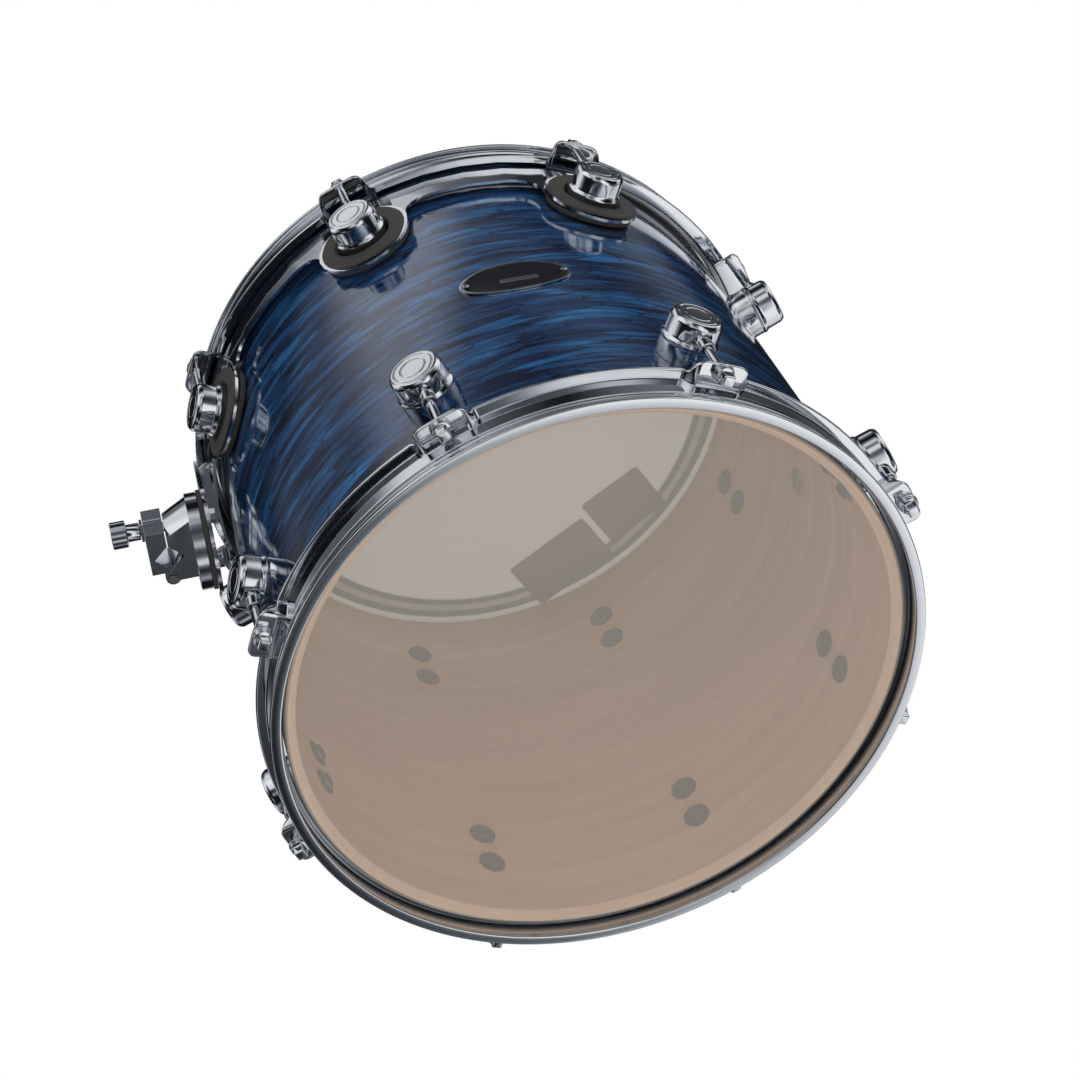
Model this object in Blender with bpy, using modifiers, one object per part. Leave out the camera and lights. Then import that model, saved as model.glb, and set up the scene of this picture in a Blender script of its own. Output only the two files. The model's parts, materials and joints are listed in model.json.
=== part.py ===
"""Rack tom: a fourteen by twelve inch mounted drum on a rubber suspended steel band.

The origin is the centre of the resonant head's outer face. +Z runs up the drum to the batter
head, and the first pair of lugs stands at +X. Every size is in millimetres. A depth is measured
from a head's outer face into the drum, so one hoop, lug and rod serves both heads.
"""
import math

import bmesh
import bpy
from mathutils import Matrix

MM = 0.001

# Clearance between solids that touch on the real drum
GAP = 0.3
SEGMENTS = 48

# Shell and wrap
SHELL_LENGTH = 304.8
SHELL_RADIUS = 176.9
SHELL_WALL = 6.0
EDGE_ROUNDOVER = 1.5
WRAP_THICKNESS = 0.6
WRAP_MARGIN = 3.0
LUG_COUNT = 8

# Heads
FILM_THICKNESS = 0.3
FILM_CORNER = 1.6
FLESH_HOOP_WIDTH = 3.4
FLESH_HOOP_HEIGHT = 9.0

# Hoops, pressed from sheet
HOOP_SHEET = 2.3
LIP_HEIGHT = 8.0
LIP_FLARE = 4.0
LIP_BEND = 2.4
LEDGE_STEP = 1.9
LEDGE_DEPTH = 4.3
FLANGE_DEPTH = 16.4
FLANGE_WIDTH = 5.8
EAR_DEPTH = 9.7
EAR_HALF_WIDTH = 12.5
EAR_TIP_HALF_WIDTH = 9.0
EAR_MARGIN = 5.0

# Tension rods
ROD_CIRCLE_RADIUS = 194.5
ROD_RADIUS = 2.75
ROD_LENGTH = 42.3
ROD_HOLE_RADIUS = 3.2
ROD_SIDES = 8
WASHER_RADIUS = 5.8
WASHER_STACK = 2.5
COLLAR_RADIUS = 5.2
COLLAR_HEIGHT = 1.5
KEY_WIDTH = 6.35
KEY_HEIGHT = 5.6
HOOP_TRAVEL = 8.0

# Lugs
LUG_DEPTH = 59.0
LUG_HEIGHT = 25.1
LUG_CAP_RADIUS = 14.8
LUG_BASE_RADIUS = 15.8
LUG_BEAD_RADIUS = 16.4
LUG_BEAD_HEIGHT = 11.0
LUG_CHAMFER = 0.8
LUG_SIDES = 12
SLEEVE_RADIUS = 4.3
SLEEVE_REACH = 9.2
LUG_SCREW_SPACING = 26.0
LUG_SCREW_SIDES = 6
LUG_SCREW_RADIUS = 2.5
LUG_WASHER_RADIUS = 8.3
LUG_WASHER_THICKNESS = 1.5
LUG_SCREW_HEAD_RADIUS = 4.6
LUG_SCREW_HEAD_HEIGHT = 3.4

# Suspension band and its rubber grommets
BAND_STANDOFF = 4.6
BAND_SHEET = 1.8
BAND_WIDTH = 16.5
BAND_OFFSET = 19.0
BAND_FIRST_LUG = -4
BAND_LAST_LUG = 1
BRACKET_GAP_LUG = -2
LOBE_RADIUS = 29.8
LOBE_FILLET = 13.0
LOBE_SIDES = 20
GROMMET_NECK_RADIUS = 22.0
GROMMET_FLANGE_RADIUS = 28.3
GROMMET_FLANGE = 2.3
GROMMET_MOUTH_RADIUS = 18.3
GROMMET_LIFT = 1.2
GROMMET_CHAMFER = 0.8
GROMMET_SIDES = 12

# Badge and vent
BADGE_LENGTH = 65.0
BADGE_HEIGHT = 32.0
BADGE_THICKNESS = 0.8
BADGE_ANGLE = 22.5
RIVET_SPACING = 57.0
RIVET_RADIUS = 1.9
RIVET_SHANK_RADIUS = 1.0
RIVET_HEAD = 0.8
VENT_ANGLE = 112.5
VENT_BORE_RADIUS = 4.2
VENT_TUBE_WALL = 1.5
VENT_FLANGE_RADIUS = 9.0
VENT_FLANGE = 1.2

# Mounting bracket, measured along its own radial axis
BRACKET_ANGLE = -67.5
BRACKET_DEPTH = 89.0
PLATE_STANDOFF = 12.4
PLATE_SHEET = 2.5
PLATE_RADIUS = 34.0
PLATE_NECK_HALF_WIDTH = 22.0
GASKET_RADIUS = 31.4
GASKET_THICKNESS = 2.7
BOSS_RADIUS = 30.5
BOSS_RIM = 7.0
BOSS_SHOULDER = 1.5
BOSS_LENGTH = 22.5
BOSS_END_RADIUS = 21.0
BOSS_BOLT_RADIUS = 2.5
BOSS_BOLT_SPACING = 34.0
BOSS_NUT_RADIUS = 5.0
BOSS_NUT_HEIGHT = 3.5
CLAMP_HALF_HEIGHT = 14.0
CLAMP_TOP = 20.5
SPLIT = 0.6
ARM_HALF_DIAGONAL = 9.0
ARM_SIDE_OFFSET = 1.0
JAW_THICKNESS = 11.9
PIN_OFFSET = 14.5
PIN_RADIUS = 2.0
PIN_HEAD_RADIUS = 3.0
PIN_HEAD = 1.0
KNUCKLE_RADIUS = 4.7
KNUCKLE_HALF_HEIGHT = 5.0
CLAMP_BOLT_OFFSET = 15.5
CLAMP_BOLT_RADIUS = 3.0
CLAMP_BOLT_REACH = 12.0
CLAMP_WASHER_RADIUS = 7.0
CLAMP_WASHER_THICKNESS = 1.5
CLAMP_NECK_RADIUS = 5.5
CLAMP_NECK_LENGTH = 8.0
CLAMP_HEAD_RADIUS = 8.5
CLAMP_HEAD_LENGTH = 9.6
CLAMP_TRAVEL = 5.0
CLAMP_SIDES = 12

# Radii and planes that follow from the sizes above
SHELL_INNER_RADIUS = SHELL_RADIUS - SHELL_WALL
WRAP_INNER_RADIUS = SHELL_RADIUS + GAP
WRAP_RADIUS = WRAP_INNER_RADIUS + WRAP_THICKNESS
COLLAR_INNER_RADIUS = WRAP_RADIUS + GAP
FILM_RADIUS = COLLAR_INNER_RADIUS + FILM_THICKNESS
FLESH_INNER_RADIUS = FILM_RADIUS + GAP
FLESH_RADIUS = FLESH_INNER_RADIUS + FLESH_HOOP_WIDTH
HOOP_INNER_RADIUS = FLESH_RADIUS + GAP
HOOP_RADIUS = HOOP_INNER_RADIUS + HOOP_SHEET
RIM_INNER_RADIUS = HOOP_INNER_RADIUS - LEDGE_STEP
RIM_RADIUS = RIM_INNER_RADIUS + HOOP_SHEET
LIP_RADIUS = RIM_RADIUS + LIP_FLARE
FLANGE_RADIUS = HOOP_RADIUS + FLANGE_WIDTH
EAR_RADIUS = ROD_CIRCLE_RADIUS + EAR_MARGIN
EDGE_DEPTH = FILM_THICKNESS + GAP
FLESH_DEPTH = LEDGE_DEPTH + GAP
FLESH_END_DEPTH = FLESH_DEPTH + FLESH_HOOP_HEIGHT
HEAD_TO_HEAD = SHELL_LENGTH + 2 * EDGE_DEPTH
MIDDLE = HEAD_TO_HEAD / 2
LUG_ANGLE = 360 / LUG_COUNT
ROD_HEIGHT = ROD_CIRCLE_RADIUS - WRAP_RADIUS
BAND_INNER_RADIUS = WRAP_RADIUS + BAND_STANDOFF
BAND_RADIUS = BAND_INNER_RADIUS + BAND_SHEET
BATTER_LUG_Z = HEAD_TO_HEAD - LUG_DEPTH
BRACKET_Z = HEAD_TO_HEAD - BRACKET_DEPTH
PLATE_INNER_X = WRAP_RADIUS + PLATE_STANDOFF
PLATE_X = PLATE_INNER_X + PLATE_SHEET
GASKET_X = PLATE_X + GAP
BOSS_X = GASKET_X + GASKET_THICKNESS + GAP
SPLIT_X = BOSS_X + BOSS_LENGTH
JAW_X = SPLIT_X + SPLIT
ARM_X = SPLIT_X + SPLIT / 2
JAW_END_X = JAW_X + JAW_THICKNESS
CLAMP_WASHER_X = JAW_END_X + GAP
CLAMP_NECK_X = CLAMP_WASHER_X + CLAMP_WASHER_THICKNESS + GAP

COLOURS = {
    "maple": ((0.42, 0.24, 0.13), 0.55, 0.0),
    "blue_wrap": ((0.05, 0.09, 0.16), 0.15, 0.0),
    "chrome": ((0.78, 0.79, 0.80), 0.08, 1.0),
    "zinc": ((0.45, 0.45, 0.46), 0.35, 1.0),
    "aluminium": ((0.62, 0.63, 0.64), 0.35, 1.0),
    "film": ((0.62, 0.56, 0.50), 0.30, 0.0),
    "rubber": ((0.045, 0.042, 0.040), 0.75, 0.0),
    "badge_metal": ((0.10, 0.10, 0.11), 0.35, 1.0),
}


def clear_scene():
    """Remove every object that the file opened with."""
    for obj in list(bpy.data.objects):
        bpy.data.objects.remove(obj, do_unlink=True)


def collection(name):
    """A collection under the scene."""
    made = bpy.data.collections.new(name)
    bpy.context.scene.collection.children.link(made)
    return made


clear_scene()
DRUM = collection("rack_tom")
CUTTERS = collection("cutters")
MATERIALS = {}


def material(name):
    """A Principled material from the colour table, made once."""
    if name not in MATERIALS:
        colour, roughness, metallic = COLOURS[name]
        made = bpy.data.materials.new(name)
        made.use_nodes = True
        shader = made.node_tree.nodes["Principled BSDF"]
        shader.inputs["Base Color"].default_value = (*colour, 1.0)
        shader.inputs["Roughness"].default_value = roughness
        shader.inputs["Metallic"].default_value = metallic
        made.diffuse_color = (*colour, 1.0)
        MATERIALS[name] = made
    return MATERIALS[name]


def mesh_object(name, mesh, where=None):
    """An object for a mesh; without a collection it is a construction piece."""
    obj = bpy.data.objects.new(name, mesh)
    (where or CUTTERS).objects.link(obj)
    if where is None:
        obj.hide_render = True
        obj.display_type = "WIRE"
    return obj


def from_bmesh(name, bm):
    """A construction piece from a bmesh."""
    mesh = bpy.data.meshes.new(name)
    bm.to_mesh(mesh)
    bm.free()
    return mesh_object(name, mesh)


def turned(name, profile, steps=SEGMENTS, axis="Z"):
    """Turn a closed (radius, height) outline about Z, or about X, with a Screw modifier.

    The outline is run clockwise, so that its outer side goes down and the faces point out. An
    edge that lies on the axis is left open.
    """
    area = sum(
        r0 * h1 - r1 * h0
        for (r0, h0), (r1, h1) in zip(profile, profile[1:] + profile[:1])
    )
    points = profile[::-1] if area > 0 else profile
    bm = bmesh.new()
    corners = []
    for radius, height in points:
        place = (radius, 0, height) if axis == "Z" else (height, radius, 0)
        corners.append(bm.verts.new([value * MM for value in place]))
    for number, (radius, _) in enumerate(points):
        following = (number + 1) % len(points)
        if radius > 0 or points[following][0] > 0:
            bm.edges.new((corners[number], corners[following]))
    obj = from_bmesh(name, bm)
    screw = obj.modifiers.new("turn", "SCREW")
    screw.axis = axis
    screw.steps = steps
    screw.render_steps = steps
    screw.use_merge_vertices = True
    screw.merge_threshold = 0.00001
    return obj


def tube(name, inner, outer, low, high):
    """A plain ring about Z."""
    return turned(name, [(inner, low), (inner, high), (outer, high), (outer, low)])


AXIS_TURNS = {"X": Matrix.Rotation(math.pi / 2, 4, "Y"), "Z": Matrix()}


def add_cylinder(bm, radius, low, high, axis="Z", at=(0, 0), sides=16, frame=Matrix()):
    """Add a capped cylinder along X, at (y, z), or along Z, at (x, y)."""
    middle = (low + high) / 2
    place = (middle, *at) if axis == "X" else (*at, middle)
    shift = Matrix.Translation([value * MM for value in place])
    bmesh.ops.create_cone(
        bm, cap_ends=True, segments=sides, radius1=radius * MM, radius2=radius * MM,
        depth=(high - low) * MM, matrix=frame @ shift @ AXIS_TURNS[axis],
    )


def add_box(bm, low, high, frame=Matrix()):
    """Add a box between two corners."""
    middle = [(a + b) / 2 * MM for a, b in zip(low, high)]
    size = [(b - a) * MM for a, b in zip(low, high)]
    shape = Matrix.Translation(middle) @ Matrix.Diagonal((*size, 1.0))
    bmesh.ops.create_cube(bm, size=1.0, matrix=frame @ shape)


def cylinder(name, radius, low, high, axis="Z", at=(0, 0), sides=16):
    """A cylinder as a construction piece."""
    bm = bmesh.new()
    add_cylinder(bm, radius, low, high, axis, at, sides)
    return from_bmesh(name, bm)


def box(name, low, high):
    """A box as a construction piece."""
    bm = bmesh.new()
    add_box(bm, low, high)
    return from_bmesh(name, bm)


def plate(name, outline, low, high, turn=Matrix()):
    """A flat outline in XY, filled and given the thickness from low to high along Z."""
    curve = bpy.data.curves.new(name, "CURVE")
    curve.dimensions = "2D"
    curve.fill_mode = "BOTH"
    curve.extrude = (high - low) / 2 * MM
    spline = curve.splines.new("POLY")
    spline.points.add(len(outline) - 1)
    for point, (x, y) in zip(spline.points, outline):
        point.co = (x * MM, y * MM, 0, 1)
    spline.use_cyclic_u = True
    drawn = mesh_object(name + "_outline", curve)
    mesh = evaluated_mesh(drawn)
    bm = bmesh.new()
    bm.from_mesh(mesh)
    bmesh.ops.remove_doubles(bm, verts=bm.verts, dist=0.00001)
    bmesh.ops.recalc_face_normals(bm, faces=bm.faces)
    shift = Matrix.Translation((0, 0, (low + high) / 2 * MM))
    bmesh.ops.transform(bm, matrix=turn @ shift, verts=bm.verts)
    bpy.data.objects.remove(drawn, do_unlink=True)
    return from_bmesh(name, bm)


def combine(obj, other, operation="DIFFERENCE"):
    """Cut one piece by another, join them, or keep what they share."""
    step = obj.modifiers.new(operation.lower(), "BOOLEAN")
    step.operation = operation
    step.solver = "EXACT"
    step.object = other


def evaluated_mesh(obj):
    """The object's mesh with its modifiers applied."""
    bpy.context.view_layer.update()
    graph = bpy.context.evaluated_depsgraph_get()
    return bpy.data.meshes.new_from_object(obj.evaluated_get(graph))


def finished(obj, shade_angle=35):
    """Turn a construction piece into a plain mesh, smooth where its faces nearly agree."""
    mesh = evaluated_mesh(obj)
    bm = bmesh.new()
    bm.from_mesh(mesh)
    bmesh.ops.remove_doubles(bm, verts=bm.verts, dist=0.00001)
    bmesh.ops.dissolve_degenerate(bm, edges=bm.edges, dist=0.00001)
    loose = [edge for edge in bm.edges if not edge.link_faces]
    bmesh.ops.delete(bm, geom=loose, context="EDGES")
    bm.to_mesh(mesh)
    bm.free()
    mesh.name = obj.name
    mesh.shade_smooth()
    mesh.set_sharp_from_angle(angle=math.radians(shade_angle))
    bpy.data.objects.remove(obj, do_unlink=True)
    return mesh


def empty(name, parent=None, location=(0, 0, 0), rotation=(0, 0, 0)):
    """An empty that carries pieces."""
    made = bpy.data.objects.new(name, None)
    DRUM.objects.link(made)
    made.parent = parent
    made.location = [value * MM for value in location]
    made.rotation_euler = [math.radians(value) for value in rotation]
    return made


def piece(name, mesh, finish, parent, location=(0, 0, 0), rotation=(0, 0, 0)):
    """Place a finished mesh as a named sub-part."""
    if not mesh.materials:
        mesh.materials.append(material(finish))
    obj = mesh_object(name, mesh, DRUM)
    obj.parent = parent
    obj.location = [value * MM for value in location]
    obj.rotation_euler = [math.radians(value) for value in rotation]
    return obj


def about(angle):
    """A turn about the drum's axis."""
    return Matrix.Rotation(math.radians(angle), 4, "Z")


def lifted(z):
    """A move up the drum's axis."""
    return Matrix.Translation((0, 0, z * MM))


def inner_seat(radius):
    """Where a flat disc of this radius meets the hollow side of the shell, less the clearance."""
    return math.sqrt(SHELL_INNER_RADIUS**2 - radius**2) * math.cos(math.pi / SEGMENTS) - GAP


# Holes that the lugs' screws and the vent need through shell and wrap


def add_screw_holes(bm):
    """Add one rod through the wall for each lug screw."""
    low = SHELL_INNER_RADIUS - SHELL_WALL
    high = WRAP_RADIUS + SHELL_WALL
    for level in (LUG_DEPTH, BATTER_LUG_Z):
        for number in range(LUG_COUNT):
            frame = about(number * LUG_ANGLE) @ lifted(level)
            for side in (-1, 1):
                add_cylinder(
                    bm, LUG_SCREW_RADIUS + GAP, low, high, "X",
                    (0, side * LUG_SCREW_SPACING / 2), LUG_SCREW_SIDES, frame,
                )


def add_screw_slots(bm):
    """Add one upright slot behind each lug, for both of its screws."""
    low = SHELL_INNER_RADIUS - SHELL_WALL
    high = WRAP_RADIUS + SHELL_WALL
    half_width = LUG_SCREW_RADIUS + GAP
    half_height = LUG_SCREW_SPACING / 2 + half_width
    for level in (LUG_DEPTH, BATTER_LUG_Z):
        for number in range(LUG_COUNT):
            frame = about(number * LUG_ANGLE) @ lifted(level)
            add_box(bm, (low, -half_width, -half_height), (high, half_width, half_height), frame)


def add_vent_hole(bm):
    """Add the vent's hole, halfway up the shell."""
    add_cylinder(
        bm, VENT_BORE_RADIUS + VENT_TUBE_WALL + GAP, SHELL_INNER_RADIUS - SHELL_WALL,
        WRAP_RADIUS + SHELL_WALL, "X", (0, 0), LUG_SIDES, about(VENT_ANGLE) @ lifted(MIDDLE),
    )


def add_rivet_holes(bm):
    """Add the two holes for the badge's rivets."""
    frame = about(BADGE_ANGLE) @ lifted(MIDDLE)
    for side in (-1, 1):
        add_cylinder(
            bm, RIVET_SHANK_RADIUS + GAP, SHELL_INNER_RADIUS, WRAP_RADIUS + SHELL_WALL, "X",
            (side * RIVET_SPACING / 2, 0), ROD_SIDES, frame,
        )


def shell_mesh():
    """The wooden tube, with a bearing edge cut at 45 degrees inside and eased outside."""
    edge_radius = SHELL_RADIUS - EDGE_ROUNDOVER
    bevel = edge_radius - SHELL_INNER_RADIUS
    half = [
        (SHELL_RADIUS, EDGE_DEPTH + EDGE_ROUNDOVER),
        (edge_radius, EDGE_DEPTH),
        (SHELL_INNER_RADIUS, EDGE_DEPTH + bevel),
    ]
    other_half = [(radius, HEAD_TO_HEAD - depth) for radius, depth in half[::-1]]
    shell = turned("shell_tube", half + other_half)
    bm = bmesh.new()
    add_screw_holes(bm)
    add_vent_hole(bm)
    combine(shell, from_bmesh("shell_holes", bm))
    return finished(shell)


def wrap_mesh():
    """The plastic covering glued round the shell, short of its edges."""
    start = EDGE_DEPTH + WRAP_MARGIN
    wrap = tube("wrap_tube", WRAP_INNER_RADIUS, WRAP_RADIUS, start, HEAD_TO_HEAD - start)
    bm = bmesh.new()
    add_screw_slots(bm)
    add_vent_hole(bm)
    add_rivet_holes(bm)
    combine(wrap, from_bmesh("wrap_holes", bm))
    return finished(wrap)


def film_mesh():
    """A head's film: a flat disc with its edge turned down into the flesh hoop."""
    inner_corner = COLLAR_INNER_RADIUS - FILM_CORNER
    corner = FILM_RADIUS - FILM_CORNER
    profile = [
        (0, 0), (corner, 0), (FILM_RADIUS, FILM_CORNER), (FILM_RADIUS, FLESH_END_DEPTH),
        (COLLAR_INNER_RADIUS, FLESH_END_DEPTH),
        (COLLAR_INNER_RADIUS, FILM_CORNER + FILM_THICKNESS),
        (inner_corner, FILM_THICKNESS), (0, FILM_THICKNESS),
    ]
    return finished(turned("film", profile), 60)


def flesh_hoop_mesh():
    """The head's own metal ring."""
    ring = tube("flesh_hoop", FLESH_INNER_RADIUS, FLESH_RADIUS, FLESH_DEPTH, FLESH_END_DEPTH)
    return finished(ring)


def ear_mesh():
    """One pressed ear: a hat section run outwards, trimmed to the ear's outline."""
    top = EAR_DEPTH
    under = EAR_DEPTH + HOOP_SHEET
    foot = FLANGE_DEPTH
    sole = FLANGE_DEPTH + HOOP_SHEET
    slope = FLANGE_DEPTH - EAR_DEPTH
    half = [
        (EAR_HALF_WIDTH, top), (EAR_HALF_WIDTH + slope, foot),
        (EAR_HALF_WIDTH + slope + HOOP_SHEET, foot), (EAR_HALF_WIDTH + slope + HOOP_SHEET, sole),
        (EAR_HALF_WIDTH + slope - GAP, sole), (EAR_HALF_WIDTH - GAP, under),
    ]
    section = half + [(-y, depth) for y, depth in half[::-1]]
    start = HOOP_RADIUS - HOOP_SHEET / 2
    upright = Matrix.Rotation(math.pi / 2, 4, "X")
    crosswise = Matrix.Rotation(math.pi / 2, 4, "Z")
    ear = plate("ear_section", section, start, EAR_RADIUS, crosswise @ upright)
    wide = EAR_HALF_WIDTH + slope + 2 * HOOP_SHEET
    tip = EAR_TIP_HALF_WIDTH
    outline = [
        (start - HOOP_SHEET, -wide), (FLANGE_RADIUS, -wide), (FLANGE_RADIUS, -EAR_HALF_WIDTH),
        (ROD_CIRCLE_RADIUS + EAR_MARGIN / 2, -tip), (EAR_RADIUS, -tip / 2),
        (EAR_RADIUS, tip / 2), (ROD_CIRCLE_RADIUS + EAR_MARGIN / 2, tip),
        (FLANGE_RADIUS, EAR_HALF_WIDTH), (FLANGE_RADIUS, wide), (start - HOOP_SHEET, wide),
    ]
    combine(ear, plate("ear_outline", outline, top - LIP_HEIGHT, sole + LIP_HEIGHT), "INTERSECT")
    return finished(ear)


def hoop_mesh():
    """The triple flanged hoop: rolled lip, rim wall, ledge, outer wall, flange and ears."""
    lip = -LIP_HEIGHT
    profile = [
        (RIM_INNER_RADIUS, LEDGE_DEPTH), (RIM_INNER_RADIUS, lip + LIP_BEND),
        (RIM_INNER_RADIUS + LIP_BEND, lip), (LIP_RADIUS, lip),
        (LIP_RADIUS, lip + HOOP_SHEET), (RIM_RADIUS, lip + HOOP_SHEET),
        (RIM_RADIUS, LEDGE_DEPTH - HOOP_SHEET), (HOOP_RADIUS, LEDGE_DEPTH - HOOP_SHEET),
        (HOOP_RADIUS, FLANGE_DEPTH), (FLANGE_RADIUS, FLANGE_DEPTH),
        (FLANGE_RADIUS, FLANGE_DEPTH + HOOP_SHEET), (HOOP_INNER_RADIUS, FLANGE_DEPTH + HOOP_SHEET),
        (HOOP_INNER_RADIUS, LEDGE_DEPTH),
    ]
    hoop = turned("hoop_ring", profile)
    relief_half = EAR_HALF_WIDTH + FLANGE_DEPTH - EAR_DEPTH - HOOP_SHEET
    ear = ear_mesh()
    reliefs = bmesh.new()
    ears = bmesh.new()
    holes = bmesh.new()
    for number in range(LUG_COUNT):
        frame = about(number * LUG_ANGLE)
        add_box(
            reliefs, (HOOP_RADIUS + GAP, -relief_half, EAR_DEPTH),
            (EAR_RADIUS, relief_half, FLANGE_DEPTH + 2 * HOOP_SHEET), frame,
        )
        start = len(ears.verts)
        ears.from_mesh(ear)
        ears.verts.ensure_lookup_table()
        bmesh.ops.transform(ears, matrix=frame, verts=ears.verts[start:])
        add_cylinder(
            holes, ROD_HOLE_RADIUS, 0, FLANGE_DEPTH + HOOP_SHEET,
            "Z", (ROD_CIRCLE_RADIUS, 0), ROD_SIDES, frame,
        )
    combine(hoop, from_bmesh("ear_reliefs", reliefs))
    combine(hoop, from_bmesh("ears", ears), "UNION")
    combine(hoop, from_bmesh("ear_holes", holes))
    return finished(hoop)


def rod_mesh():
    """A tension rod with its collar and washers; its origin is where they bear on the ear."""
    under_washers = -GAP - WASHER_STACK
    collar = under_washers - COLLAR_HEIGHT
    profile = [
        (0, collar), (COLLAR_RADIUS, collar), (WASHER_RADIUS, under_washers),
        (WASHER_RADIUS, -GAP), (ROD_RADIUS, -GAP), (ROD_RADIUS, ROD_LENGTH), (0, ROD_LENGTH),
    ]
    rod = turned("rod", profile, ROD_SIDES)
    half = KEY_WIDTH / 2
    key = box("key", (-half, -half, collar - KEY_HEIGHT), (half, half, collar + COLLAR_HEIGHT / 2))
    combine(rod, key, "UNION")
    return finished(rod)


def lug_mesh():
    """A round lug with its sleeve nut and the two screws that hold it through the shell.

    Its origin lies on the wrap, with X outwards and the sleeve nut towards -Z.
    """
    profile = [
        (0, -SHELL_WALL / 2), (LUG_BASE_RADIUS, -SHELL_WALL / 2),
        (LUG_BASE_RADIUS, LUG_BEAD_HEIGHT - LUG_CHAMFER), (LUG_BEAD_RADIUS, LUG_BEAD_HEIGHT),
        (LUG_CAP_RADIUS, LUG_BEAD_HEIGHT + 2 * LUG_CHAMFER),
        (LUG_CAP_RADIUS, LUG_HEIGHT - LUG_CHAMFER),
        (LUG_CAP_RADIUS - LUG_CHAMFER, LUG_HEIGHT), (0, LUG_HEIGHT),
    ]
    lug = turned("lug_body", profile, LUG_SIDES, "X")
    saddle = cylinder(
        "saddle", WRAP_RADIUS + GAP, -LUG_DEPTH, LUG_DEPTH, "Z", (-WRAP_RADIUS, 0), SEGMENTS
    )
    combine(lug, saddle)
    sleeve_end = -LUG_CAP_RADIUS - SLEEVE_REACH
    sleeve_root = -LUG_CAP_RADIUS / 2
    sleeve = cylinder(
        "sleeve", SLEEVE_RADIUS, sleeve_end, sleeve_root, "Z", (ROD_HEIGHT, 0), ROD_SIDES
    )
    combine(lug, sleeve, "UNION")
    rod_end = EAR_DEPTH + ROD_LENGTH - LUG_DEPTH
    bore_end = rod_end + ROD_RADIUS
    bore = cylinder(
        "bore", ROD_HOLE_RADIUS, sleeve_end - ROD_RADIUS, bore_end, "Z", (ROD_HEIGHT, 0), ROD_SIDES
    )
    combine(lug, bore)
    washer_face = inner_seat(LUG_WASHER_RADIUS) - WRAP_RADIUS
    head_face = washer_face - LUG_WASHER_THICKNESS
    screw_profile = [
        (0, LUG_SCREW_RADIUS), (LUG_SCREW_RADIUS, LUG_SCREW_RADIUS),
        (LUG_SCREW_RADIUS, washer_face), (LUG_WASHER_RADIUS, washer_face),
        (LUG_WASHER_RADIUS, head_face),
        (LUG_SCREW_HEAD_RADIUS, head_face - LUG_SCREW_HEAD_HEIGHT),
        (0, head_face - LUG_SCREW_HEAD_HEIGHT),
    ]
    for side in (-1, 1):
        screw = turned("lug_screw", screw_profile, LUG_SCREW_SIDES, "X")
        screw.location.z = side * LUG_SCREW_SPACING / 2 * MM
        combine(lug, screw, "UNION")
    return finished(lug)


def badge_mesh():
    """A bare oval plate bent to the shell."""
    badge = tube(
        "badge_ring", WRAP_RADIUS + GAP, WRAP_RADIUS + GAP + BADGE_THICKNESS,
        -BADGE_HEIGHT, BADGE_HEIGHT,
    )
    bm = bmesh.new()
    add_cylinder(bm, 1, SHELL_RADIUS / 2, 2 * WRAP_RADIUS, "X", (0, 0), LOBE_SIDES)
    bmesh.ops.scale(bm, vec=(1, BADGE_LENGTH / 2, BADGE_HEIGHT / 2), verts=bm.verts)
    combine(badge, from_bmesh("badge_oval", bm), "INTERSECT")
    bm = bmesh.new()
    for side in (-1, 1):
        add_cylinder(
            bm, RIVET_SHANK_RADIUS + GAP, SHELL_RADIUS / 2, 2 * WRAP_RADIUS, "X",
            (side * RIVET_SPACING / 2, 0), ROD_SIDES,
        )
    combine(badge, from_bmesh("badge_holes", bm))
    return finished(badge)


def rivet_x():
    """How far from the drum's axis, along the badge's middle, a rivet's head sits."""
    outer = WRAP_RADIUS + GAP + BADGE_THICKNESS
    nearest = RIVET_SPACING / 2 - RIVET_RADIUS
    return math.sqrt(outer**2 - nearest**2) + GAP


def rivet_mesh():
    """A badge rivet: a round head and a short shank; its origin is under the head."""
    outer = WRAP_RADIUS + GAP + BADGE_THICKNESS
    farthest = RIVET_SPACING / 2 + RIVET_SHANK_RADIUS
    wrap_inside = math.sqrt(WRAP_INNER_RADIUS**2 - farthest**2)
    shank_end = wrap_inside - rivet_x() + GAP
    profile = [
        (0, RIVET_HEAD), (RIVET_RADIUS / 2, RIVET_HEAD), (RIVET_RADIUS, RIVET_HEAD / 2),
        (RIVET_RADIUS, 0), (RIVET_SHANK_RADIUS, 0),
        (RIVET_SHANK_RADIUS, shank_end), (0, shank_end),
    ]
    return finished(turned("rivet", profile, ROD_SIDES, "X"))


def vent_mesh():
    """The vent's flanged eyelet through the wall; its origin lies on the wrap."""
    bore = VENT_BORE_RADIUS
    outer = bore + VENT_TUBE_WALL
    inside = inner_seat(VENT_FLANGE_RADIUS) - WRAP_RADIUS
    profile = [
        (bore, GAP + VENT_FLANGE), (VENT_FLANGE_RADIUS - VENT_FLANGE / 2, GAP + VENT_FLANGE),
        (VENT_FLANGE_RADIUS, GAP), (outer, GAP), (outer, inside),
        (VENT_FLANGE_RADIUS, inside), (VENT_FLANGE_RADIUS, inside - VENT_FLANGE),
        (bore, inside - VENT_FLANGE),
    ]
    return finished(turned("vent", profile, LUG_SIDES, "X"))


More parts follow.
